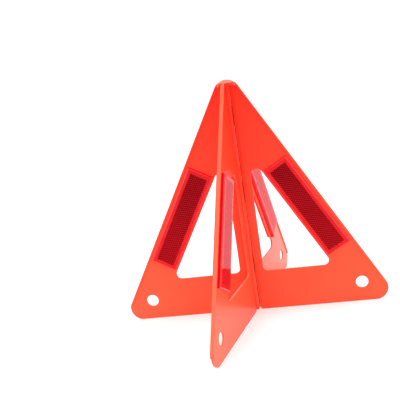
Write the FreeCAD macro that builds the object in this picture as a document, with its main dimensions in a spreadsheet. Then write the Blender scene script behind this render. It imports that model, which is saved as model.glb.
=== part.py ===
import FreeCAD, Part
import math
import os

import Sketcher

# Folding warning triangle: four flat leaves hang on one upright pin, each leaf carries a
# long reflector on both of its faces, and the leaves stand crosswise or fold together.
# All sizes are millimetres and degrees.  Each leaf is drawn in its own upright plane, with
# x measured outwards from the pin and z upwards, and is then turned about the pin.

SIZES = [
    ("leaf_height", 250.0, "base plane to the top of the dome"),
    ("leaf_reach", 140.7, "pin axis to the outermost point of a leaf"),
    ("leaf_thick", 2.0, "thickness of a leaf"),
    ("bead_thick", 4.0, "thickness of the bead along the sloping edge"),
    ("bead_width", 1.5, "width of that bead"),
    ("apex_radius", 13.7, "rounding of the tip, centred on the pin axis"),
    ("corner_radius", 13.2, "rounding of the outer foot"),
    ("heel_radius", 4.0, "rounding of the foot beside the pin"),
    ("edge_round", 0.4, "softened edges of the moulding"),
    ("hole_radius", 6.5, "hanging hole"),
    ("hole_inset", 20.9, "centre of the hanging hole to the lower and the sloping edge"),
    ("strip_width", 34.0, "sloping strip that carries the reflectors"),
    ("stile_edge", 12.64, "pin axis to the window"),
    ("rail_height", 43.38, "base plane to the window"),
    ("window_foot_round", 5.5, "lower corners of the window"),
    ("window_top_round", 6.4, "upper corner of the window"),
    ("lens_length", 111.9, "reflector, outside"),
    ("lens_width", 27.6, "reflector, outside"),
    ("lens_bevel", 1.2, "width of the chamfer round the face"),
    ("lens_proud", 3.7, "height of the reflector over the leaf"),
    ("lens_lip", 2.7, "height of the upright sides over the leaf"),
    ("lens_inset", 18.2, "sloping edge of the leaf to the reflector's centre line"),
    ("lens_height", 110.1, "base plane to the reflector's centre"),
    ("lens_wall", 1.4, "thickness of the lens in front of its cavity"),
    ("seat_depth", 0.3, "recess that takes the reflector"),
    ("seat_gap", 0.1, "clearance round the reflector"),
    ("backing_thick", 0.8, "plate that closes the back of the reflector"),
    ("backing_margin", 1.3, "rim of the lens round its cavity, inside the chamfer"),
    ("fit_gap", 0.1, "clearance of the plate in the cavity"),
    ("barrel_radius", 2.8, "outside of the hinge knuckles"),
    ("bore_radius", 1.45, "bore of the knuckles"),
    ("pin_radius", 1.4, "hinge pin"),
    ("knuckle_gap", 0.3, "space between neighbours along and round the pin"),
    ("knuckle_start", 3.0, "underside of the lowest knuckle"),
    ("knuckle_rounds", 3.0, "knuckles on each leaf"),
    ("fold_half_angle", 10.0, "half the smallest angle between two leaves"),
    ("fold_gap", 0.15, "clearance of a leaf from that half angle"),
    ("cap_radius", 8.6, "cap over the tip"),
    ("cap_underside", 244.0, "base plane to the underside of the cap"),
    ("cap_grip", 3.4, "length of pin inside the cap"),
    ("collar_bottom", 0.4, "base plane to the end collar"),
    ("collar_floor", 0.6, "closed end of the collar"),
    ("collar_height", 2.3, "end collar"),
]

# Where each leaf stands, and the names of the sides its two faces look towards.
LEAVES = [
    ("right_leaf", 0.0, 2, ("front", "rear")),
    ("rear_leaf", 77.0, 1, ("right", "left")),
    ("left_leaf", 180.0, 3, ("rear", "front")),
    ("front_leaf", -103.0, 0, ("left", "right")),
]

SHEET = "Sizes"
LEAF_COUNT = len(LEAVES)
UP = FreeCAD.Vector(0, 0, 1)
CLOSE = 1e-4


class Size:
    """A number together with the sheet expression that it comes from."""

    def __init__(self, value, text):
        self.value = float(value)
        self.text = text

    def __add__(self, other):
        other = asSize(other)
        return Size(self.value + other.value, f"({self.text} + {other.text})")

    def __sub__(self, other):
        other = asSize(other)
        return Size(self.value - other.value, f"({self.text} - {other.text})")

    def __mul__(self, other):
        other = asSize(other)
        return Size(self.value * other.value, f"({self.text} * {other.text})")

    def __truediv__(self, other):
        other = asSize(other)
        return Size(self.value / other.value, f"({self.text} / {other.text})")

    def __neg__(self):
        return Size(-self.value, f"(-{self.text})")


def asSize(number):
    return number if isinstance(number, Size) else Size(number, repr(float(number)))


def root(size):
    return Size(math.sqrt(size.value), f"sqrt({size.text})")


def sine(angle):
    return Size(math.sin(math.radians(angle.value)), f"sin({angle.text})")


def cosine(angle):
    return Size(math.cos(math.radians(angle.value)), f"cos({angle.text})")


def tangent(angle):
    return Size(math.tan(math.radians(angle.value)), f"tan({angle.text})")


def arcSine(ratio):
    return Size(math.degrees(math.asin(ratio.value)), f"asin({ratio.text})")


def arcTangent(ratio):
    return Size(math.degrees(math.atan(ratio.value)), f"atan({ratio.text})")


doc = FreeCAD.newDocument("warning_triangle")
sheet = doc.addObject("Spreadsheet::Sheet", SHEET)
size = {}
for row, (name, value, note) in enumerate(SIZES, start=1):
    sheet.set(f"A{row}", name)
    sheet.set(f"B{row}", repr(value))
    sheet.set(f"C{row}", note)
    sheet.setAlias(f"B{row}", name)
    size[name] = Size(value, f"{SHEET}.{name}")
doc.recompute()

# Sizes that follow from the ones in the sheet.
apexCentre = size["leaf_height"] - size["apex_radius"]
cornerReach = size["leaf_reach"] - size["corner_radius"]
apexRise = apexCentre - size["corner_radius"]
radiusStep = size["corner_radius"] - size["apex_radius"]
centreSpan = root(cornerReach * cornerReach + apexRise * apexRise)
# The slope is the angle between the leaf's sloping edge and the pin.
slope = arcTangent(cornerReach / apexRise) + arcSine(radiusStep / centreSpan)
# Distance of the sloping edge from the origin, measured square to the edge.
edgeOffset = apexCentre * sine(slope) + size["apex_radius"]
leafInner = size["barrel_radius"] + size["knuckle_gap"]
knuckleSpan = size["cap_underside"] - size["knuckle_start"] - size["knuckle_gap"]
knucklePitch = knuckleSpan / (size["knuckle_rounds"] * LEAF_COUNT)
knuckleLength = knucklePitch - size["knuckle_gap"]
foldClearance = size["fold_gap"] / cosine(size["fold_half_angle"])
webHalf = leafInner * tangent(size["fold_half_angle"]) - foldClearance
lensBody = size["seat_depth"] + size["lens_proud"]
lensShoulder = size["seat_depth"] + size["lens_lip"]
pinBottom = size["collar_bottom"] + size["collar_floor"]


def onSlope(offset, height):
    """Distance from the pin at a height, on a line parallel to the sloping edge."""
    return (offset - height * sine(slope)) / cosine(slope)


def newBody(label):
    return doc.addObject("PartDesign::Body", label)


def basePlane(body, role):
    return next(f for f in body.Origin.OriginFeatures if f.Role == role)


def newSketch(body, name, role, offset=None):
    sketch = body.newObject("Sketcher::SketchObject", name)
    sketch.AttachmentSupport = [(basePlane(body, role), "")]
    sketch.MapMode = "FlatFace"
    if offset is not None:
        lifted = FreeCAD.Vector(0, 0, offset.value)
        sketch.AttachmentOffset = FreeCAD.Placement(lifted, FreeCAD.Rotation())
        sketch.setExpression("AttachmentOffset.Base.z", offset.text)
    return sketch


def bind(sketch, constraint, wanted):
    number = sketch.addConstraint(constraint)
    sketch.setExpression(f"Constraints[{number}]", wanted.text)


def fixCoordinate(sketch, kind, geometry, point, wanted):
    """Hold one coordinate of a point, measured from the sketch's origin."""
    wanted = asSize(wanted)
    axis = -2 if kind == "DistanceX" else -1
    if abs(wanted.value) < CLOSE:
        sketch.addConstraint(Sketcher.Constraint("PointOnObject", geometry, point, axis))
    elif wanted.value > 0:
        bind(sketch, Sketcher.Constraint(kind, -1, 1, geometry, point, wanted.value), wanted)
    else:
        wanted = -wanted
        bind(sketch, Sketcher.Constraint(kind, geometry, point, -1, 1, wanted.value), wanted)


def addPolygon(sketch, corners):
    """Closed outline whose corners are all held by their coordinates."""
    points = [FreeCAD.Vector(asSize(x).value, asSize(y).value, 0) for x, y in corners]
    first = sketch.GeometryCount
    count = len(points)
    for i in range(count):
        sketch.addGeometry(Part.LineSegment(points[i], points[(i + 1) % count]), False)
    for i in range(count):
        following = first + (i + 1) % count
        sketch.addConstraint(Sketcher.Constraint("Coincident", first + i, 2, following, 1))
    for i, (x, y) in enumerate(corners):
        fixCoordinate(sketch, "DistanceX", first + i, 1, x)
        fixCoordinate(sketch, "DistanceY", first + i, 1, y)


def addCircle(sketch, x, y, radius):
    centre = FreeCAD.Vector(asSize(x).value, asSize(y).value, 0)
    number = sketch.addGeometry(Part.Circle(centre, UP, radius.value), False)
    bind(sketch, Sketcher.Constraint("Radius", number, radius.value), radius)
    fixCoordinate(sketch, "DistanceX", number, 3, x)
    fixCoordinate(sketch, "DistanceY", number, 3, y)


def addCentredRectangle(sketch, length, width):
    halfLength = length / 2
    halfWidth = width / 2
    addPolygon(sketch, [
        (-halfLength, -halfWidth),
        (halfLength, -halfWidth),
        (halfLength, halfWidth),
        (-halfLength, halfWidth),
    ])


def pad(body, sketch, length, name, midplane=False):
    feature = body.newObject("PartDesign::Pad", name)
    feature.Profile = sketch
    feature.Length = length.value
    feature.setExpression("Length", length.text)
    feature.Midplane = midplane
    sketch.Visibility = False
    doc.recompute()
    return feature


def cut(body, sketch, depth, name, midplane=False, reverse=False):
    """Pocket that must take material away, whichever way its sketch faces."""
    before = body.Shape.Volume
    feature = body.newObject("PartDesign::Pocket", name)
    feature.Profile = sketch
    feature.Length = depth.value
    feature.setExpression("Length", depth.text)
    feature.Midplane = midplane
    feature.Reversed = reverse
    sketch.Visibility = False
    doc.recompute()
    if not feature.Shape.isValid() or feature.Shape.Volume > before - CLOSE:
        raise RuntimeError(f"{name} in {body.Label} cut nothing")
    return feature


def fillet(body, edges, radius, name):
    base = body.Tip
    feature = body.newObject("PartDesign::Fillet", name)
    feature.Base = (base, [f"Edge{number}" for number in edges])
    feature.Radius = radius.value
    feature.setExpression("Radius", radius.text)
    doc.recompute()
    return feature


def crossEdges(shape, corners):
    """Numbers of the straight edges that run through the leaf at the given corners."""
    found = []
    for x, z in corners:
        for number, edge in enumerate(shape.Edges, start=1):
            box = edge.BoundBox
            through = box.XLength < CLOSE and box.ZLength < CLOSE
            if through and math.hypot(box.XMin - x.value, box.ZMin - z.value) < CLOSE:
                found.append(number)
    return found


def faceEdges(shape, half, inner):
    """Numbers of the edges round both faces, or round the openings in them."""
    found = set()
    for side in (-half, half):
        for face in shape.Faces:
            box = face.BoundBox
            if box.YLength > CLOSE or abs(box.YMin - side) > CLOSE:
                continue
            for wire in face.Wires:
                if wire.isSame(face.OuterWire) == inner:
                    continue
                for edge in wire.Edges:
                    for number, candidate in enumerate(shape.Edges, start=1):
                        if candidate.isSame(edge):
                            found.add(number)
    return sorted(found)


def drawLeafOutline(sketch):
    """Inner edge, foot and sloping edge, closed by the arc of the tip."""
    footEnd = edgeOffset / cosine(slope)
    radius = size["apex_radius"]
    centre = FreeCAD.Vector(0, apexCentre.value, 0)
    angle = math.radians(slope.value)
    slopeTop = centre + FreeCAD.Vector(math.cos(angle), math.sin(angle), 0) * radius.value
    innerRise = math.sqrt(radius.value ** 2 - leafInner.value ** 2)
    innerTop = centre + FreeCAD.Vector(leafInner.value, innerRise, 0)
    innerFoot = FreeCAD.Vector(leafInner.value, 0, 0)
    outerFoot = FreeCAD.Vector(footEnd.value, 0, 0)
    foot = sketch.addGeometry(Part.LineSegment(innerFoot, outerFoot), False)
    side = sketch.addGeometry(Part.LineSegment(outerFoot, slopeTop), False)
    circle = Part.Circle(centre, UP, radius.value)
    innerAngle = math.atan2(innerRise, leafInner.value)
    tip = sketch.addGeometry(Part.ArcOfCircle(circle, angle, innerAngle), False)
    inner = sketch.addGeometry(Part.LineSegment(innerTop, innerFoot), False)
    sketch.addConstraint([
        Sketcher.Constraint("Coincident", foot, 2, side, 1),
        Sketcher.Constraint("Tangent", side, 2, tip, 1),
        Sketcher.Constraint("Coincident", tip, 2, inner, 1),
        Sketcher.Constraint("Coincident", inner, 2, foot, 1),
        Sketcher.Constraint("Vertical", inner),
    ])
    fixCoordinate(sketch, "DistanceX", foot, 1, leafInner)
    fixCoordinate(sketch, "DistanceY", foot, 1, 0)
    fixCoordinate(sketch, "DistanceX", side, 1, footEnd)
    fixCoordinate(sketch, "DistanceY", side, 1, 0)
    fixCoordinate(sketch, "DistanceX", tip, 3, 0)
    fixCoordinate(sketch, "DistanceY", tip, 3, apexCentre)
    bind(sketch, Sketcher.Constraint("Radius", tip, radius.value), radius)


def drawKnuckle(sketch):
    """Round barrel with the short web that joins it to the leaf."""
    radius = size["barrel_radius"]
    reach = leafInner + size["knuckle_gap"]
    start = math.asin(webHalf.value / radius.value)
    circle = Part.Circle(FreeCAD.Vector(), UP, radius.value)
    barrel = sketch.addGeometry(Part.ArcOfCircle(circle, start, 2 * math.pi - start), False)
    neck = radius.value * math.cos(start)
    upperIn = FreeCAD.Vector(neck, webHalf.value, 0)
    upperOut = FreeCAD.Vector(reach.value, webHalf.value, 0)
    lowerOut = FreeCAD.Vector(reach.value, -webHalf.value, 0)
    lowerIn = FreeCAD.Vector(neck, -webHalf.value, 0)
    upper = sketch.addGeometry(Part.LineSegment(upperIn, upperOut), False)
    end = sketch.addGeometry(Part.LineSegment(upperOut, lowerOut), False)
    lower = sketch.addGeometry(Part.LineSegment(lowerOut, lowerIn), False)
    sketch.addConstraint([
        Sketcher.Constraint("Coincident", barrel, 3, -1, 1),
        Sketcher.Constraint("Coincident", barrel, 1, upper, 1),
        Sketcher.Constraint("Coincident", upper, 2, end, 1),
        Sketcher.Constraint("Coincident", end, 2, lower, 1),
        Sketcher.Constraint("Coincident", lower, 2, barrel, 2),
        Sketcher.Constraint("Horizontal", upper),
        Sketcher.Constraint("Horizontal", lower),
        Sketcher.Constraint("Symmetric", end, 1, end, 2, -1),
    ])
    bind(sketch, Sketcher.Constraint("Radius", barrel, radius.value), radius)
    fixCoordinate(sketch, "DistanceX", end, 1, reach)
    fixCoordinate(sketch, "DistanceY", end, 1, webHalf)


def insideBead():
    """Triangle that takes in all of a leaf but the bead along its sloping edge."""
    offset = edgeOffset - size["bead_width"]
    inner = leafInner / 2
    below = -size["bead_thick"]
    above = (offset - inner * cosine(slope)) / sine(slope)
    return [(inner, below), (onSlope(offset, below), below), (inner, above)]


def makeLeaf(label, knucklePlace):
    """One leaf with its bead, window, hanging hole, reflector seats and knuckles."""
    body = newBody(label)
    thick = size["bead_thick"]
    beadHalf = thick / 2
    half = size["leaf_thick"] / 2

    outline = newSketch(body, f"{label}_outline", "XZ_Plane")
    drawLeafOutline(outline)
    pad(body, outline, thick, f"{label}_panel", midplane=True)
    footEnd = edgeOffset / cosine(slope)
    heel = crossEdges(body.Shape, [(leafInner, asSize(0))])
    fillet(body, heel, size["heel_radius"], f"{label}_heel")
    corner = crossEdges(body.Shape, [(footEnd, asSize(0))])
    fillet(body, corner, size["corner_radius"], f"{label}_corner")
    rim = faceEdges(body.Shape, beadHalf.value, inner=False)
    fillet(body, rim, size["edge_round"], f"{label}_rim")
    for side, sign, reverse in (("near", 1, False), ("far", -1, True)):
        face = newSketch(body, f"{label}_{side}_face", "XZ_Plane", beadHalf * sign)
        addPolygon(face, insideBead())
        cut(body, face, beadHalf - half, f"{label}_{side}_face_cut", reverse=reverse)

    stile = size["stile_edge"]
    rail = size["rail_height"]
    windowOffset = edgeOffset - size["strip_width"]
    windowFoot = onSlope(windowOffset, rail)
    windowTop = (windowOffset - stile * cosine(slope)) / sine(slope)
    window = newSketch(body, f"{label}_window", "XZ_Plane")
    addPolygon(window, [(stile, rail), (windowFoot, rail), (stile, windowTop)])
    cut(body, window, thick * 2, f"{label}_window_cut", midplane=True)
    feet = crossEdges(body.Shape, [(stile, rail), (windowFoot, rail)])
    fillet(body, feet, size["window_foot_round"], f"{label}_window_feet")
    top = crossEdges(body.Shape, [(stile, windowTop)])
    fillet(body, top, size["window_top_round"], f"{label}_window_top")

    hole = newSketch(body, f"{label}_hole", "XZ_Plane")
    inset = size["hole_inset"]
    addCircle(hole, onSlope(edgeOffset - inset, inset), inset, size["hole_radius"])
    cut(body, hole, thick * 2, f"{label}_hole_cut", midplane=True)
    openings = faceEdges(body.Shape, half.value, inner=True)
    fillet(body, openings, size["edge_round"], f"{label}_openings")

    for side, sign, reverse in (("near", 1, False), ("far", -1, True)):
        seat = newSketch(body, f"{label}_{side}_seat", "XZ_Plane", half * sign)
        addPolygon(seat, lensCorners(size["seat_gap"]))
        cut(body, seat, size["seat_depth"], f"{label}_{side}_seat_cut", reverse=reverse)

    crown = newSketch(body, f"{label}_crown", "XZ_Plane")
    crownReach = size["cap_radius"] + size["knuckle_gap"]
    crownFoot = size["cap_underside"] - size["knuckle_gap"]
    crownTop = size["leaf_height"] + thick
    addPolygon(crown, [
        (leafInner / 2, crownFoot),
        (crownReach, crownFoot),
        (crownReach, crownTop),
        (leafInner / 2, crownTop),
    ])
    cut(body, crown, thick * 2, f"{label}_crown_cut", midplane=True)

    for side, sign in (("near", -1), ("far", 1)):
        wedge = newSketch(body, f"{label}_{side}_wedge", "XY_Plane")
        lead = leafInner - size["knuckle_gap"] / 2
        wedgeLow = lead * tangent(size["fold_half_angle"]) - foldClearance
        wedgeHigh = beadHalf + size["knuckle_gap"]
        wedgeEnd = (wedgeHigh + foldClearance) / tangent(size["fold_half_angle"])
        addPolygon(wedge, [
            (lead, wedgeLow * sign),
            (wedgeEnd, wedgeHigh * sign),
            (lead, wedgeHigh * sign),
        ])
        height = size["leaf_height"]
        cut(body, wedge, height, f"{label}_{side}_wedge_cut", reverse=True)

    start = size["knuckle_start"] + knucklePitch * knucklePlace
    knuckle = newSketch(body, f"{label}_knuckle", "XY_Plane", start)
    drawKnuckle(knuckle)
    barrel = pad(body, knuckle, knuckleLength, f"{label}_knuckle_pad")
    pattern = body.newObject("PartDesign::LinearPattern", f"{label}_knuckles")
    pattern.Originals = [barrel]
    pattern.Direction = (basePlane(body, "Z_Axis"), [""])
    pattern.Mode = "Spacing"
    pattern.Offset = knucklePitch.value * LEAF_COUNT
    pattern.setExpression("Offset", (knucklePitch * LEAF_COUNT).text)
    pattern.Occurrences = int(size["knuckle_rounds"].value)
    pattern.setExpression("Occurrences", size["knuckle_rounds"].text)
    body.Tip = pattern
    doc.recompute()
    bore = newSketch(body, f"{label}_bore", "XY_Plane")
    addCircle(bore, 0, 0, size["bore_radius"])
    cut(body, bore, size["leaf_height"], f"{label}_bore_cut", reverse=True)
    return body


def lensCorners(margin):
    """Corners of a reflector on its leaf, grown all round by a margin."""
    middle = onSlope(edgeOffset - size["lens_inset"], size["lens_height"])
    alongHalf = size["lens_length"] / 2 + margin
    acrossHalf = size["lens_width"] / 2 + margin
    corners = []
    for along, across in ((-1, -1), (1, -1), (1, 1), (-1, 1)):
        x = middle + sine(slope) * alongHalf * along + cosine(slope) * acrossHalf * across
        z = size["lens_height"] - cosine(slope) * alongHalf * along
        z = z + sine(slope) * acrossHalf * across
        corners.append((x, z))
    return corners


def makeLens(label):
    """Reflector lens: seated block, chamfered face and a cavity behind it."""
    body = newBody(label)
    length = size["lens_length"]
    width = size["lens_width"]
    base = newSketch(body, f"{label}_base", "XY_Plane")
    addCentredRectangle(base, length, width)
    pad(body, base, lensShoulder, f"{label}_block")
    shoulder = newSketch(body, f"{label}_shoulder", "XY_Plane", lensShoulder)
    addCentredRectangle(shoulder, length, width)
    crown = newSketch(body, f"{label}_crown", "XY_Plane", lensBody)
    bevels = size["lens_bevel"] * 2
    addCentredRectangle(crown, length - bevels, width - bevels)
    border = body.newObject("PartDesign::AdditiveLoft", f"{label}_border")
    border.Profile = shoulder
    border.Sections = [crown]
    border.Ruled = True
    doc.recompute()
    cavity = newSketch(body, f"{label}_cavity", "XY_Plane")
    margins = (size["lens_bevel"] + size["backing_margin"]) * 2
    addCentredRectangle(cavity, length - margins, width - margins)
    cut(body, cavity, lensBody - size["lens_wall"], f"{label}_cavity_cut", reverse=True)
    return body


def makeBacking(label):
    """Thin plate that closes the cavity of a lens from behind."""
    body = newBody(label)
    plate = newSketch(body, f"{label}_plate", "XY_Plane")
    margins = (size["lens_bevel"] + size["backing_margin"] + size["fit_gap"]) * 2
    addCentredRectangle(plate, size["lens_length"] - margins, size["lens_width"] - margins)
    pad(body, plate, size["backing_thick"], f"{label}_pad")
    return body


def revolveProfile(body, name, draw):
    sketch = newSketch(body, name, "XZ_Plane")
    draw(sketch)
    feature = body.newObject("PartDesign::Revolution", f"{name}_turn")
    feature.Profile = sketch
    feature.ReferenceAxis = (sketch, ["V_Axis"])
    feature.Angle = 360
    sketch.Visibility = False
    doc.recompute()
    return feature


def drawCap(sketch):
    """Half section of the cap, with the same dome as the tips of the leaves."""
    radius = size["apex_radius"]
    reach = size["cap_radius"]
    underside = size["cap_underside"]
    gripTop = underside + size["cap_grip"]
    rimRise = math.sqrt(radius.value ** 2 - reach.value ** 2)
    centre = FreeCAD.Vector(0, apexCentre.value, 0)
    rimTop = centre + FreeCAD.Vector(reach.value, rimRise, 0)
    crown = FreeCAD.Vector(0, size["leaf_height"].value, 0)
    bore = size["pin_radius"]
    points = [
        crown,
        FreeCAD.Vector(0, gripTop.value, 0),
        FreeCAD.Vector(bore.value, gripTop.value, 0),
        FreeCAD.Vector(bore.value, underside.value, 0),
        FreeCAD.Vector(reach.value, underside.value, 0),
        rimTop,
    ]
    for first, second in zip(points, points[1:]):
        sketch.addGeometry(Part.LineSegment(first, second), False)
    circle = Part.Circle(centre, UP, radius.value)
    rimAngle = math.atan2(rimRise, reach.value)
    dome = sketch.addGeometry(Part.ArcOfCircle(circle, rimAngle, math.pi / 2), False)
    for number in range(dome):
        sketch.addConstraint(Sketcher.Constraint("Coincident", number, 2, number + 1, 1))
    sketch.addConstraint(Sketcher.Constraint("Coincident", dome, 2, 0, 1))
    for number in (0, 2, 4):
        sketch.addConstraint(Sketcher.Constraint("Vertical", number))
    for number in (1, 3):
        sketch.addConstraint(Sketcher.Constraint("Horizontal", number))
    fixCoordinate(sketch, "DistanceX", dome, 3, 0)
    fixCoordinate(sketch, "DistanceY", dome, 3, apexCentre)
    bind(sketch, Sketcher.Constraint("Radius", dome, radius.value), radius)
    fixCoordinate(sketch, "DistanceX", 0, 1, 0)
    fixCoordinate(sketch, "DistanceY", 1, 1, gripTop)
    fixCoordinate(sketch, "DistanceX", 2, 1, bore)
    fixCoordinate(sketch, "DistanceX", 4, 1, reach)
    fixCoordinate(sketch, "DistanceY", 3, 1, underside)


def drawPin(sketch):
    bottom = pinBottom
    top = size["cap_underside"] + size["cap_grip"]
    addPolygon(sketch, [
        (0, bottom),
        (size["pin_radius"], bottom),
        (size["pin_radius"], top),
        (0, top),
    ])


def drawCollar(sketch):
    bottom = size["collar_bottom"]
    top = bottom + size["collar_height"]
    addPolygon(sketch, [
        (0, bottom),
        (size["barrel_radius"], bottom),
        (size["barrel_radius"], top),
        (size["pin_radius"], top),
        (size["pin_radius"], pinBottom),
        (0, pinBottom),
    ])


def placeLensPart(body, azimuth, nearSide):
    """Lay a reflector piece in its seat: its length runs down the sloping edge."""
    middle = onSlope(edgeOffset - size["lens_inset"], size["lens_height"]).value
    height = size["lens_height"].value
    floor = size["leaf_thick"].value / 2 - size["seat_depth"].value
    angle = math.radians(slope.value)
    along = FreeCAD.Vector(math.sin(angle), 0, -math.cos(angle))
    outward = FreeCAD.Vector(0, -1 if nearSide else 1, 0)
    across = outward.cross(along)
    laid = FreeCAD.Rotation(along, across, outward, "ZXY")
    seat = FreeCAD.Vector(middle, outward.y * floor, height)
    turn = FreeCAD.Placement(FreeCAD.Vector(), FreeCAD.Rotation(UP, azimuth))
    body.Placement = turn.multiply(FreeCAD.Placement(seat, laid))


parts = []
for leafName, azimuth, knucklePlace, faces in LEAVES:
    leaf = makeLeaf(leafName, knucklePlace)
    leaf.Placement = FreeCAD.Placement(FreeCAD.Vector(), FreeCAD.Rotation(UP, azimuth))
    parts.append(leaf)
    side = leafName.split("_")[0]
    for face, nearSide in zip(faces, (True, False)):
        lens = makeLens(f"{side}_lens_{face}")
        backing = makeBacking(f"{side}_backing_{face}")
        for piece in (lens, backing):
            placeLensPart(piece, azimuth, nearSide)
            parts.append(piece)

for label, draw in (("hinge_pin", drawPin), ("apex_cap", drawCap), ("hinge_collar", drawCollar)):
    turned = newBody(label)
    revolveProfile(turned, f"{label}_section", draw)
    parts.append(turned)

doc.recompute()
for item in doc.Objects:
    if "Invalid" in item.State or "Error" in item.State:
        raise RuntimeError(f"{item.Label} did not build: {item.State}")
os.makedirs("parts", exist_ok=True)
for part in parts:
    solid = part.Shape
    if solid.isNull() or not solid.isValid() or len(solid.Solids) != 1:
        raise RuntimeError(f"{part.Label} is not one sound solid")
    solid.exportStep(f"parts/{part.Label}.step")
    print(part.Label, round(solid.Volume, 1), "mm3")
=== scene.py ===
import bpy
import bmesh
import math
from mathutils import Matrix, Vector


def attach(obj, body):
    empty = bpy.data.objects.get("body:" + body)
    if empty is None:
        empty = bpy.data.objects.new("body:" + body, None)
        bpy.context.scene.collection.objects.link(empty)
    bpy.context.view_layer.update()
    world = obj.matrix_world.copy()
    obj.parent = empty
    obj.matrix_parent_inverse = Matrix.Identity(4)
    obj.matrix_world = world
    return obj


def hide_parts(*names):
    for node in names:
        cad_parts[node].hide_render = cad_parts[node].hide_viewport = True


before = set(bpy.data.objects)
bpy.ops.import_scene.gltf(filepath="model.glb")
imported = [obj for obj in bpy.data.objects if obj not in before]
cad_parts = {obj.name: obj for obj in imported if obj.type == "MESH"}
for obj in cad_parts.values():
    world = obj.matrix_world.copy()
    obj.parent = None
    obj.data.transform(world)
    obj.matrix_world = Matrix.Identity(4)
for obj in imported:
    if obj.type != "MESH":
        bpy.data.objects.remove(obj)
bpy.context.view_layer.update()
print("frame loaded:", len(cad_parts), "nodes")

mm = 0.001

# degrees: how each leaf is turned about the pin at rest, and the tilt of its sloping edge
stand = {"right": 0.0, "rear": 77.0, "left": 180.0, "front": -103.0}
slopeDegrees = 29.636


# short helpers for node trees; a value is either a socket or a plain number or colour
def feed(links, socket, value):
    if isinstance(value, bpy.types.NodeSocket):
        links.new(value, socket)
    else:
        socket.default_value = value


def calc(n, l, operation, *values, clamp=False):
    node = n.new("ShaderNodeMath")
    node.operation = operation
    node.use_clamp = clamp
    for socket, value in zip(node.inputs, values):
        feed(l, socket, value)
    return node.outputs[0]


def rescale(n, l, value, fromMin, fromMax, toMin=0.0, toMax=1.0):
    node = n.new("ShaderNodeMapRange")
    settings = {"Value": value, "From Min": fromMin, "From Max": fromMax,
                "To Min": toMin, "To Max": toMax}
    for name, given in settings.items():
        feed(l, node.inputs[name], given)
    return node.outputs["Result"]


def mixColour(n, l, factor, first, second):
    node = n.new("ShaderNodeMix")
    node.data_type = "RGBA"
    for name, value in (("Factor", factor), ("A", first), ("B", second)):
        feed(l, node.inputs[name], value)
    return node.outputs["Result"]


def noise(n, l, vector, scale, detail, **more):
    node = n.new("ShaderNodeTexNoise")
    settings = {"Vector": vector, "Scale": scale, "Detail": detail, **more}
    for name, value in settings.items():
        feed(l, node.inputs[name], value)
    return node.outputs["Fac"]


def splitZ(n, l, vector):
    node = n.new("ShaderNodeSeparateXYZ")
    l.new(vector, node.inputs[0])
    return node.outputs["Z"]


def attribute(n, name):
    node = n.new("ShaderNodeAttribute")
    node.attribute_name = name
    return node.outputs["Fac"]


def groupSocket(tree, name, inOut, kind, default=None):
    socket = tree.interface.new_socket(name=name, in_out=inOut, socket_type=kind)
    if default is not None:
        socket.default_value = default


def makeMouldedTone():
    # slow flow marks and cloudiness of moulded plastic: shifts a colour lighter and darker
    tree = bpy.data.node_groups.new("mouldedTone", "ShaderNodeTree")
    groupSocket(tree, "Base", "INPUT", "NodeSocketColor", (1, 0, 0, 1))
    groupSocket(tree, "Deep", "INPUT", "NodeSocketColor", (0.5, 0, 0, 1))
    groupSocket(tree, "Scale", "INPUT", "NodeSocketFloat", 18.0)
    groupSocket(tree, "Amount", "INPUT", "NodeSocketFloat", 0.25)
    groupSocket(tree, "Color", "OUTPUT", "NodeSocketColor")
    n, l = tree.nodes, tree.links
    given = n.new("NodeGroupInput").outputs
    out = n.new("NodeGroupOutput").inputs
    coord = n.new("ShaderNodeTexCoord").outputs["Object"]
    cloud = noise(n, l, coord, given["Scale"], 3.0, Roughness=0.5, Distortion=0.6)
    weight = calc(n, l, "MULTIPLY", rescale(n, l, cloud, 0.35, 0.68), given["Amount"])
    l.new(mixColour(n, l, weight, given["Base"], given["Deep"]), out["Color"])
    return tree


def makeHandlingMarks():
    # fine scuffs and pores: a roughness and a height for the bump
    tree = bpy.data.node_groups.new("handlingMarks", "ShaderNodeTree")
    groupSocket(tree, "Smooth", "INPUT", "NodeSocketFloat", 0.12)
    groupSocket(tree, "Worn", "INPUT", "NodeSocketFloat", 0.3)
    groupSocket(tree, "Scratch Scale", "INPUT", "NodeSocketFloat", 60.0)
    groupSocket(tree, "Pore Scale", "INPUT", "NodeSocketFloat", 900.0)
    groupSocket(tree, "Roughness", "OUTPUT", "NodeSocketFloat")
    groupSocket(tree, "Height", "OUTPUT", "NodeSocketFloat")
    n, l = tree.nodes, tree.links
    given = n.new("NodeGroupInput").outputs
    out = n.new("NodeGroupOutput").inputs
    coord = n.new("ShaderNodeTexCoord").outputs["Object"]
    stretch = n.new("ShaderNodeMapping")     # scratches run long in one direction
    stretch.inputs["Scale"].default_value = (1.0, 1.0, 0.12)
    stretch.inputs["Rotation"].default_value = (0.3, 0.5, 0.2)
    l.new(coord, stretch.inputs["Vector"])
    scratch = noise(n, l, stretch.outputs["Vector"], given["Scratch Scale"], 8.0, Roughness=0.7)
    rough = n.new("ShaderNodeMix")
    rough.data_type = "FLOAT"
    l.new(rescale(n, l, scratch, 0.52, 0.74), rough.inputs["Factor"])
    l.new(given["Smooth"], rough.inputs["A"])
    l.new(given["Worn"], rough.inputs["B"])
    l.new(rough.outputs["Result"], out["Roughness"])
    pore = noise(n, l, coord, given["Pore Scale"], 2.0)
    ripple = noise(n, l, coord, 26.0, 1.0)
    l.new(calc(n, l, "MULTIPLY_ADD", ripple, 6.0, pore), out["Height"])
    return tree


mouldedTone = makeMouldedTone()
handlingMarks = makeHandlingMarks()


def newMaterial(name):
    material = bpy.data.materials.new(name)
    material.use_nodes = True
    n = material.node_tree.nodes
    return material, n, material.node_tree.links, n["Principled BSDF"].inputs


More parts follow.
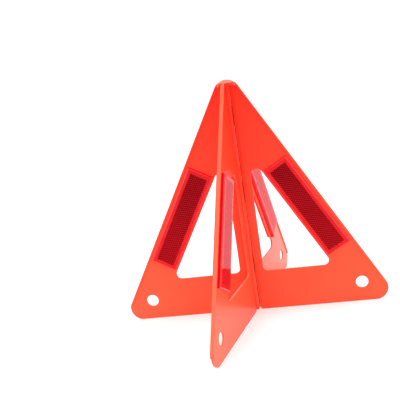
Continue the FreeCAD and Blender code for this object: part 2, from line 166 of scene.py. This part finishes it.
def addTone(n, l, piece, base, deep):
    group = n.new("ShaderNodeGroup")
    group.node_tree = mouldedTone
    settings = {"Base": base, "Deep": deep, "Scale": piece["cloudScale"],
                "Amount": piece["cloudAmount"]}
    for name, value in settings.items():
        feed(l, group.inputs[name], value)
    return group.outputs["Color"]


def addMarks(n, l, piece, surface):
    # roughness from the scuffs, and bump where the piece names one
    group = n.new("ShaderNodeGroup")
    group.node_tree = handlingMarks
    settings = {"Smooth": piece["smooth"], "Worn": piece["worn"],
                "Scratch Scale": piece["scratchScale"], "Pore Scale": piece["poreScale"]}
    for name, value in settings.items():
        group.inputs[name].default_value = value
    l.new(group.outputs["Roughness"], surface["Roughness"])
    if "bump" in piece:
        bump = n.new("ShaderNodeBump")
        bump.inputs["Strength"].default_value = piece["bump"]
        bump.inputs["Distance"].default_value = piece["bumpDepth"]
        l.new(group.outputs["Height"], bump.inputs["Height"])
        l.new(bump.outputs["Normal"], surface["Normal"])


leafPlastic = {
    "inner": (1.0, 0.03, 0.012, 1),      # painted shade: deep colour near the pin and towards the tip, where the leaves shade each other
    "innerDeep": (1.0, 0.02, 0.007, 1),
    "outer": (1.0, 0.125, 0.058, 1),     # painted light: paler colour low down and far out, lit by light off the floor
    "outerDeep": (1.0, 0.1, 0.042, 1),
    "cloudScale": 14.0,
    "cloudAmount": 0.6,
    "reachOut": 0.13,                    # it pales over this many metres out from the pin
    "reachShare": 0.35,                  # by this share
    "fallDown": 0.24,                    # and from this many metres up down to the floor
    "fallShare": 0.65,                   # by this one
    "paintedEdgeLight": (1.0, 0.17, 0.09, 1),      # painted highlight: sloping and upturned edges made paler, as if catching the light
    "paintedEdgeLightAmount": 0.75,
    "paintedEdgeLightFrom": 0.1,                   # upward part of the normal where the paling starts
    "paintedEdgeLightTo": 0.45,
    "paintedGapShadow": (0.2, 0.004, 0.002, 1),     # painted shadow: a dark line beside the knuckles, where the gap falls in shade
    "gapShadowInner": 2.84 * mm,
    "gapShadowOuter": 3.9 * mm,
    "gapShadowFade": 0.3 * mm,
    "smooth": 0.24,
    "worn": 0.27,
    "scratchScale": 70.0,
    "poreScale": 1400.0,
    "bump": 0.25,
    "bumpDepth": 0.04 * mm,
    "ior": 1.4,
    "specularTint": (1.0, 0.4, 0.35, 1),
    # painted glow: the plastic gives off a faint red light of its own
    "paintedGlow": (1.0, 0.045, 0.015, 1),
    "paintedGlowStrength": 0.07,
}


def pinRadius(n, l, place):
    # distance from the pin's axis
    flat = n.new("ShaderNodeVectorMath")
    flat.operation = "MULTIPLY"
    flat.inputs[1].default_value = (1, 1, 0)
    l.new(place, flat.inputs[0])
    radius = n.new("ShaderNodeVectorMath")
    radius.operation = "LENGTH"
    l.new(flat.outputs["Vector"], radius.inputs[0])
    return radius.outputs["Value"]


def makeLeafPlastic():
    look = leafPlastic
    material, n, l, surface = newMaterial("signalOrangePlastic")
    coord = n.new("ShaderNodeTexCoord").outputs
    radius = pinRadius(n, l, coord["Object"])
    # painted light and shade: 0 beside the pin at the tip, where it is shaded deepest, 1 at the
    # far low corners, painted palest
    outwards = rescale(n, l, radius, 0.0, look["reachOut"], toMax=look["reachShare"])
    down = rescale(n, l, splitZ(n, l, coord["Object"]), look["fallDown"], 0.0,
                   toMax=look["fallShare"])
    paintedLightShare = calc(n, l, "ADD", outwards, down)
    tone = addTone(n, l, look, mixColour(n, l, paintedLightShare, look["inner"], look["outer"]),
                   mixColour(n, l, paintedLightShare, look["innerDeep"], look["outerDeep"]))
    # painted highlight: the narrow faces that look up or down are made paler, as if catching the
    # light; the broad upright ones are not
    upturned = calc(n, l, "ABSOLUTE", splitZ(n, l, coord["Normal"]))
    edgeLightShare = rescale(n, l, upturned, look["paintedEdgeLightFrom"], look["paintedEdgeLightTo"],
                      toMax=look["paintedEdgeLightAmount"])
    withEdgeLight = mixColour(n, l, edgeLightShare, tone, look["paintedEdgeLight"])
    # painted shade in a ring between the knuckles and the leaf, standing in for the dark gap
    ring = rescale(n, l, radius, look["gapShadowOuter"], look["gapShadowOuter"] - look["gapShadowFade"])
    past = calc(n, l, "GREATER_THAN", radius, look["gapShadowInner"])
    gapShadowShare = calc(n, l, "MULTIPLY", ring, past)
    l.new(mixColour(n, l, gapShadowShare, withEdgeLight, look["paintedGapShadow"]), surface["Base Color"])
    addMarks(n, l, look, surface)
    surface["IOR"].default_value = look["ior"]
    surface["Specular Tint"].default_value = look["specularTint"]
    # painted glow, though the leaf is no lamp
    surface["Emission Color"].default_value = look["paintedGlow"]
    surface["Emission Strength"].default_value = look["paintedGlowStrength"]
    return material


borderPlastic = {
    "base": (0.76, 0.005, 0.01, 1),
    "deep": (0.56, 0.002, 0.005, 1),
    "cloudScale": 60.0,
    "cloudAmount": 0.7,
    "edge": (1.0, 0.07, 0.08, 1),        # painted highlight: the chamfer's paler colour, standing in for the light it catches
    "smooth": 0.07,
    "worn": 0.2,
    "scratchScale": 90.0,
    "poreScale": 1500.0,
    "bump": 0.15,
    "bumpDepth": 0.02 * mm,
    "ior": 1.49,
    "specularTint": (1.0, 0.3, 0.3, 1),
    # painted glow: the border gives off a faint light of its own red
    "paintedGlowStrength": 0.07,
}


def makeBorderPlastic():
    look = borderPlastic
    material, n, l, surface = newMaterial("clearRedBorder")
    tone = addTone(n, l, look, look["base"], look["deep"])
    # painted highlight: the chamfer faces are made paler
    paintedEdgeLight = mixColour(n, l, attribute(n, "edgeTone"), tone, look["edge"])
    l.new(paintedEdgeLight, surface["Base Color"])
    addMarks(n, l, look, surface)
    surface["IOR"].default_value = look["ior"]
    surface["Specular Tint"].default_value = look["specularTint"]
    # painted glow, though the border is no lamp
    surface["Emission Color"].default_value = look["base"]
    surface["Emission Strength"].default_value = look["paintedGlowStrength"]
    return material


prismPlastic = {
    "ramp": ((0.2, (0.025, 0.0002, 0.0004, 1)),      # tone, then its colour
             (0.6, (0.14, 0.0008, 0.002, 1)),
             (1.0, (0.42, 0.006, 0.012, 1))),
    "cellShare": 0.2,          # how much the tone changes from cell to cell
    "driftShare": 0.5,         # and slowly along the strip
    "driftScale": 22.0,
    "low": 0.06,               # metres above the floor, the strip's bottom end
    "high": 0.16,
    "lowShade": 0.16,          # painted light: tone raised at the bottom end
    "highShade": -0.28,        # painted shade: tone lowered at the top end
    "smooth": 0.05,
    "worn": 0.14,
    "scratchScale": 90.0,
    "poreScale": 1500.0,
    "ior": 1.52,
    "specularTint": (1.0, 0.04, 0.05, 1),
    "sheen": (1.0, 0.015, 0.03, 1),
    "sheenRoughness": 0.7,
}


def makePrismPlastic():
    # each cell has three facets in painted lit and shaded tones: the facet picks the tone and the
    # cell shifts it a little
    look = prismPlastic
    material, n, l, surface = newMaterial("prismRed")
    coord = n.new("ShaderNodeTexCoord").outputs["Object"]
    # painted light and shade: the strip is lighter towards its bottom and darker towards its top
    shade = rescale(n, l, splitZ(n, l, coord), look["low"], look["high"],
                    look["lowShade"], look["highShade"])
    tone = calc(n, l, "ADD", attribute(n, "facetShade"), shade)
    tone = calc(n, l, "MULTIPLY_ADD", attribute(n, "cellTone"), look["cellShare"], tone)
    drift = noise(n, l, coord, look["driftScale"], 2.0)
    tone = calc(n, l, "MULTIPLY_ADD", drift, look["driftShare"], tone, clamp=True)
    ramp = n.new("ShaderNodeValToRGB")
    stops = ramp.color_ramp.elements
    stops.new(0.5)
    for stop, (position, colour) in zip(stops, look["ramp"]):
        stop.position = position
        stop.color = colour
    l.new(tone, ramp.inputs["Fac"])
    l.new(ramp.outputs["Color"], surface["Base Color"])
    addMarks(n, l, look, surface)
    surface["IOR"].default_value = look["ior"]
    surface["Specular Tint"].default_value = look["specularTint"]
    surface["Sheen Weight"].default_value = 1.0
    surface["Sheen Roughness"].default_value = look["sheenRoughness"]
    surface["Sheen Tint"].default_value = look["sheen"]
    return material


pinSteel = {
    "base": (0.62, 0.62, 0.64, 1),
    "deep": (0.42, 0.42, 0.43, 1),
    "cloudScale": 240.0,
    "cloudAmount": 0.5,
    "smooth": 0.22,
    "worn": 0.45,
    "scratchScale": 200.0,
    "poreScale": 2500.0,
    "bump": 0.2,
    "bumpDepth": 0.02 * mm,
}


def makePinSteel():
    material, n, l, surface = newMaterial("drawnPinSteel")
    l.new(addTone(n, l, pinSteel, pinSteel["base"], pinSteel["deep"]), surface["Base Color"])
    addMarks(n, l, pinSteel, surface)
    surface["Metallic"].default_value = 1.0
    return material


leafMaterial = makeLeafPlastic()
borderMaterial = makeBorderPlastic()
prismMaterial = makePrismPlastic()
pinMaterial = makePinSteel()
print("materials made")

for name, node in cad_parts.items():
    wanted = leafMaterial
    if "backing" in name:
        wanted = borderMaterial
    if name == "hinge_pin":
        wanted = pinMaterial
    node.data.materials.clear()
    node.data.materials.append(wanted)
print("leaves, cap, pin and collar painted")


def addObject(name, data):
    thing = bpy.data.objects.new(name, data)
    bpy.context.scene.collection.objects.link(thing)
    return thing


reflector = {
    "chamfer": 1.2 * mm,
    "chamferRise": 1.0 * mm,
    "chamferHighlightAmount": 0.45,       # how far the chamfer is painted towards its paler highlight colour
    "skin": 0.05 * mm,         # the flat face lies this far under the prisms
    "soften": 0.2 * mm,        # rounding of the sharp edges
}


def lensPlace(nodeName, side):
    # x runs down the strip, y across it, z out of the leaf; the origin is the lens's middle
    azimuth = math.radians(stand[side])
    slope = math.radians(slopeDegrees)
    outwards = Vector((math.cos(azimuth), math.sin(azimuth), 0))
    along = outwards * math.sin(slope) - Vector((0, 0, math.cos(slope)))
    face = Vector((-math.sin(azimuth), math.cos(azimuth), 0))
    points = [v.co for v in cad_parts[nodeName].data.vertices]
    if sum(face.dot(p) for p in points) < 0:
        face = -face
    across = face.cross(along)
    turn = Matrix((along, across, face)).transposed()
    spans = [(min(axis.dot(p) for p in points), max(axis.dot(p) for p in points))
             for axis in (along, across, face)]
    middle = turn @ Vector([(low + high) / 2 for low, high in spans])
    extent = Vector([high - low for low, high in spans])
    return Matrix.Translation(middle) @ turn.to_4x4(), extent


def lensBlank(extent):
    # closed block with upright sides, a chamfer and a flat face
    length, width, half = extent.x / 2, extent.y / 2, extent.z / 2
    chamfer = reflector["chamfer"]
    shoulder, face = half - reflector["chamferRise"], half - reflector["skin"]
    bm = bmesh.new()
    rings = []
    for dx, dy, z in ((length, width, -half), (length, width, shoulder),
                      (length - chamfer, width - chamfer, face)):
        rings.append([bm.verts.new((sx * dx, sy * dy, z))
                      for sx, sy in ((-1, -1), (1, -1), (1, 1), (-1, 1))])
    edgeTone = bm.faces.layers.float.new("edgeTone")
    bm.faces.new(list(reversed(rings[0])))
    bm.faces.new(rings[-1])
    for level, (lower, upper) in enumerate(zip(rings, rings[1:])):
        for i in range(4):
            j = (i + 1) % 4
            side = bm.faces.new((lower[i], lower[j], upper[j], upper[i]))
            side[edgeTone] = reflector["chamferHighlightAmount"] * level
    sharp = [e for e in bm.edges if max(v.co.z for v in e.verts) > -half]
    bmesh.ops.bevel(bm, geom=sharp, offset=reflector["soften"], segments=3, profile=0.5,
                    affect="EDGES", clamp_overlap=True)
    bmesh.ops.recalc_face_normals(bm, faces=bm.faces)
    mesh = bpy.data.meshes.new("lensBlank")
    bm.to_mesh(mesh)
    bm.free()
    return mesh


prisms = {
    "pitch": 2.42 * mm,        # cell to cell along the strip
    "fieldLength": 102.6 * mm,
    "fieldWidth": 19.4 * mm,
    "spareCells": 3,           # grown past the ends, then cut straight
    "relief": 0.016 * mm,      # depth of a cell's pit
    "sunk": 0.0002 * mm,       # the sheet lies this far under the solid's own face
    "weld": 0.02 * mm,         # corners this close are joined
    "facetShades": (0.05, 0.75, 0.0),   # painted light and shade of a cell's three facets
    "seed": 7,
}
rowRatio = math.sqrt(3) / 2    # row to row, as a share of the pitch


def prismCell(hand):
    # six-sided cell of three facets that meet in a shallow pit, like the corner of a cube;
    # hand is 1 or -1, so that the palest facet, painted as if lit from above, is the cell's upper
    # one on either side
    radius = prisms["pitch"] / math.sqrt(3)
    bm = bmesh.new()
    centre = bm.verts.new((0, 0, -prisms["relief"]))
    corners = []
    for i in range(6):
        angle = math.radians(60 * i - 30) * hand
        height = 0.0 if i % 2 else -prisms["relief"] * 0.5
        corners.append(bm.verts.new((radius * math.cos(angle), radius * math.sin(angle), height)))
    tone = bm.faces.layers.float.new("facetShade")
    for i, facet in enumerate(prisms["facetShades"]):
        ring = (centre, corners[2 * i], corners[2 * i + 1], corners[(2 * i + 2) % 6])
        face = bm.faces.new(ring if hand > 0 else tuple(reversed(ring)))
        face[tone] = facet
    mesh = bpy.data.meshes.new("prismCell")
    bm.to_mesh(mesh)
    bm.free()
    return addObject("prismCell", mesh)


def prismSheetTree():
    # rows of cells along the strip: every other row is shifted by half a pitch
    tree = bpy.data.node_groups.new("prismSheet", "GeometryNodeTree")
    groupSocket(tree, "Geometry", "INPUT", "NodeSocketGeometry")
    groupSocket(tree, "Cell", "INPUT", "NodeSocketObject")
    groupSocket(tree, "Rows", "INPUT", "NodeSocketInt", 9)
    groupSocket(tree, "Cells", "INPUT", "NodeSocketInt", 42)
    groupSocket(tree, "Pitch", "INPUT", "NodeSocketFloat", 0.002)
    groupSocket(tree, "Height", "INPUT", "NodeSocketFloat", 0.0)
    groupSocket(tree, "Seed", "INPUT", "NodeSocketInt", 1)
    groupSocket(tree, "Material", "INPUT", "NodeSocketMaterial")
    groupSocket(tree, "Geometry", "OUTPUT", "NodeSocketGeometry")
    n, l = tree.nodes, tree.links
    given = n.new("NodeGroupInput").outputs
    out = n.new("NodeGroupOutput").inputs
    pitch = given["Pitch"]

    rowStep = calc(n, l, "MULTIPLY", pitch, rowRatio)
    grid = n.new("GeometryNodeMeshGrid")
    sizes = {"X": (given["Cells"], pitch), "Y": (given["Rows"], rowStep)}
    for axis, (count, step) in sizes.items():
        steps = calc(n, l, "SUBTRACT", count, 1)
        l.new(calc(n, l, "MULTIPLY", steps, step), grid.inputs["Size " + axis])
        l.new(count, grid.inputs["Vertices " + axis])

    index = n.new("GeometryNodeInputIndex").outputs[0]
    odd = calc(n, l, "MODULO", calc(n, l, "MODULO", index, given["Rows"]), 2)
    shift = calc(n, l, "MULTIPLY", calc(n, l, "SUBTRACT", odd, 0.5),
                 calc(n, l, "MULTIPLY", pitch, 0.5))
    offset = n.new("ShaderNodeCombineXYZ")
    l.new(shift, offset.inputs["X"])
    l.new(given["Height"], offset.inputs["Z"])
    place = n.new("GeometryNodeSetPosition")
    l.new(grid.outputs["Mesh"], place.inputs["Geometry"])
    l.new(offset.outputs[0], place.inputs["Offset"])

    source = n.new("GeometryNodeObjectInfo")
    l.new(given["Cell"], source.inputs["Object"])
    spread = n.new("GeometryNodeInstanceOnPoints")
    l.new(place.outputs["Geometry"], spread.inputs["Points"])
    l.new(source.outputs["Geometry"], spread.inputs["Instance"])

    chance = n.new("FunctionNodeRandomValue")
    chance.data_type = "FLOAT"
    l.new(given["Seed"], chance.inputs["Seed"])
    keep = n.new("GeometryNodeStoreNamedAttribute")
    keep.data_type = "FLOAT"
    keep.domain = "INSTANCE"
    keep.inputs["Name"].default_value = "cellTone"
    l.new(spread.outputs["Instances"], keep.inputs["Geometry"])
    l.new(next(o for o in chance.outputs if o.enabled), keep.inputs["Value"])

    real = n.new("GeometryNodeRealizeInstances")
    l.new(keep.outputs["Geometry"], real.inputs["Geometry"])
    weld = n.new("GeometryNodeMergeByDistance")
    weld.inputs["Distance"].default_value = prisms["weld"]
    l.new(real.outputs["Geometry"], weld.inputs["Geometry"])
    paint = n.new("GeometryNodeSetMaterial")
    l.new(weld.outputs["Geometry"], paint.inputs["Geometry"])
    l.new(given["Material"], paint.inputs["Material"])
    l.new(paint.outputs["Geometry"], out["Geometry"])
    return tree


def setInput(modifier, tree, name, value):
    for item in tree.interface.items_tree:
        if item.item_type == "SOCKET" and item.in_out == "INPUT" and item.name == name:
            modifier[item.identifier] = value
            return
    raise KeyError(name)


def growPrismSheet(tree, cell, height, seed):
    # runs the tree once and keeps the plain mesh
    holder = addObject("prismSheet", bpy.data.meshes.new("sheetSeed"))
    modifier = holder.modifiers.new("prismSheet", "NODES")
    modifier.node_group = tree
    pitch = prisms["pitch"]
    settings = {
        "Cell": cell,
        "Rows": int(prisms["fieldWidth"] / (pitch * rowRatio)),
        "Cells": int(prisms["fieldLength"] / pitch) + prisms["spareCells"],
        "Pitch": pitch,
        "Height": height,
        "Seed": seed,
        "Material": prismMaterial,
    }
    for name, value in settings.items():
        setInput(modifier, tree, name, value)
    graph = bpy.context.evaluated_depsgraph_get()
    mesh = bpy.data.meshes.new_from_object(holder.evaluated_get(graph))
    bpy.data.objects.remove(holder)
    return mesh


def trimEnds(mesh):
    # straight cuts across both ends of the strip; the long sides keep their teeth
    bm = bmesh.new()
    bm.from_mesh(mesh)
    for end in (1, -1):
        bmesh.ops.bisect_plane(bm, geom=bm.verts[:] + bm.edges[:] + bm.faces[:],
                               plane_co=(end * prisms["fieldLength"] / 2, 0, 0),
                               plane_no=(end, 0, 0), clear_outer=True)
    bm.to_mesh(mesh)
    bm.free()


cellOf = {hand: prismCell(hand) for hand in (1, -1)}
sheetTree = prismSheetTree()

lensNodes = sorted(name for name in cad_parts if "_lens_" in name)
for number, nodeName in enumerate(lensNodes):
    side = nodeName.split("_")[0]
    where, extent = lensPlace(nodeName, side)
    blank = lensBlank(extent)
    blank.materials.append(borderMaterial)
    blank.transform(where)
    body = addObject(nodeName + "_body", blank)
    hand = 1 if where.col[1].z > 0 else -1
    field = growPrismSheet(sheetTree, cellOf[hand], extent.z / 2 - prisms["sunk"],
                           prisms["seed"] + number)
    trimEnds(field)
    field.transform(where)
    sheet = addObject(nodeName + "_prisms", field)
    panel = side + "_panel"
    for piece in (body, sheet):
        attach(piece, panel)
    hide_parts(nodeName)
for cell in cellOf.values():
    bpy.data.objects.remove(cell)
print("reflectors made:", len(lensNodes))


studio = {
    "floorSize": 30.0,
    "floorTone": (0.8, 0.8, 0.8, 1),
    "floorRoughness": 0.9,
    "floorGlow": 0.3,
    "backTone": (1.0, 1.0, 1.0, 1),
    "cameraSideTone": (0.6, 0.6, 0.6, 1),
    "toneFrom": -0.9,          # the camera's side, as a direction along y
    "toneTo": 0.1,
    "skyStrength": 1.05,
}

lamps = {
    "overhead": {"at": (0.0, 0.2, 1.6), "size": 1.8, "watts": 14.0},
    "leftSide": {"at": (-1.4, -0.5, 0.9), "size": 1.2, "watts": 7.0},
    "rightSide": {"at": (1.4, -0.3, 0.8), "size": 1.2, "watts": 6.0},
}
lampAim = (0, 0, 0.12)


def layFloor():
    mesh = bpy.data.meshes.new("floor")
    half = studio["floorSize"] / 2
    corners = [(-half, -half, 0), (half, -half, 0), (half, half, 0), (-half, half, 0)]
    mesh.from_pydata(corners, [], [(0, 1, 2, 3)])
    material, _, _, surface = newMaterial("paleFloor")
    surface["Base Color"].default_value = studio["floorTone"]
    surface["Roughness"].default_value = studio["floorRoughness"]
    surface["Emission Color"].default_value = (1, 1, 1, 1)
    surface["Emission Strength"].default_value = studio["floorGlow"]
    mesh.materials.append(material)
    floor = addObject("floor", mesh)


def lightSky():
    # white all round, a little darker on the camera's side
    world = bpy.data.worlds.new("studio")
    bpy.context.scene.world = world
    world.use_nodes = True
    n, l = world.node_tree.nodes, world.node_tree.links
    background = n["Background"].inputs
    background["Strength"].default_value = studio["skyStrength"]
    split = n.new("ShaderNodeSeparateXYZ")
    l.new(n.new("ShaderNodeTexCoord").outputs["Generated"], split.inputs[0])
    blend = rescale(n, l, split.outputs["Y"], studio["toneFrom"], studio["toneTo"])
    tint = mixColour(n, l, blend, studio["cameraSideTone"], studio["backTone"])
    l.new(tint, background["Color"])


def hangLamps():
    for name, lamp in lamps.items():
        light = bpy.data.lights.new(name, "AREA")
        light.shape = "SQUARE"
        light.size = lamp["size"]
        light.energy = lamp["watts"]
        holder = addObject(name, light)
        holder.location = lamp["at"]
        aim = Vector(lampAim) - Vector(lamp["at"])
        holder.rotation_euler = aim.to_track_quat("-Z", "Y").to_euler()


view = {
    "azimuth": 6.4,            # degrees, from straight in front towards the right
    "elevation": 13.8,
    "roll": -8.03,
    "pan": 3.5,
    "tilt": 0.4,
    "distance": 0.71512,
    "target": (0, 0, 0.125),
    "lens": 61.15,
    "sensor": 36.0,
}


def placeCamera():
    azimuth, elevation = math.radians(view["azimuth"]), math.radians(view["elevation"])
    back = Vector((math.sin(azimuth) * math.cos(elevation),
                   -math.cos(azimuth) * math.cos(elevation), math.sin(elevation)))
    right = Vector((math.cos(azimuth), math.sin(azimuth), 0))
    up = back.cross(right)
    place = Vector(view["target"]) + back * view["distance"]
    pan = Matrix.Rotation(math.radians(view["pan"]), 3, up)
    back, right = pan @ back, pan @ right
    tilt = Matrix.Rotation(math.radians(view["tilt"]), 3, right)
    back, up = tilt @ back, tilt @ up
    roll = math.radians(view["roll"])
    turnedRight = right * math.cos(roll) + up * math.sin(roll)
    turnedUp = up * math.cos(roll) - right * math.sin(roll)
    camera = bpy.data.cameras.new("camera")
    camera.sensor_width = view["sensor"]
    camera.lens = view["lens"]
    holder = addObject("camera", camera)
    turn = Matrix((turnedRight, turnedUp, back)).transposed()
    holder.matrix_world = Matrix.Translation(place) @ turn.to_4x4()
    bpy.context.scene.camera = holder


layFloor()
lightSky()
hangLamps()
placeCamera()
bpy.context.scene.view_settings.view_transform = "Standard"
print("stage set")
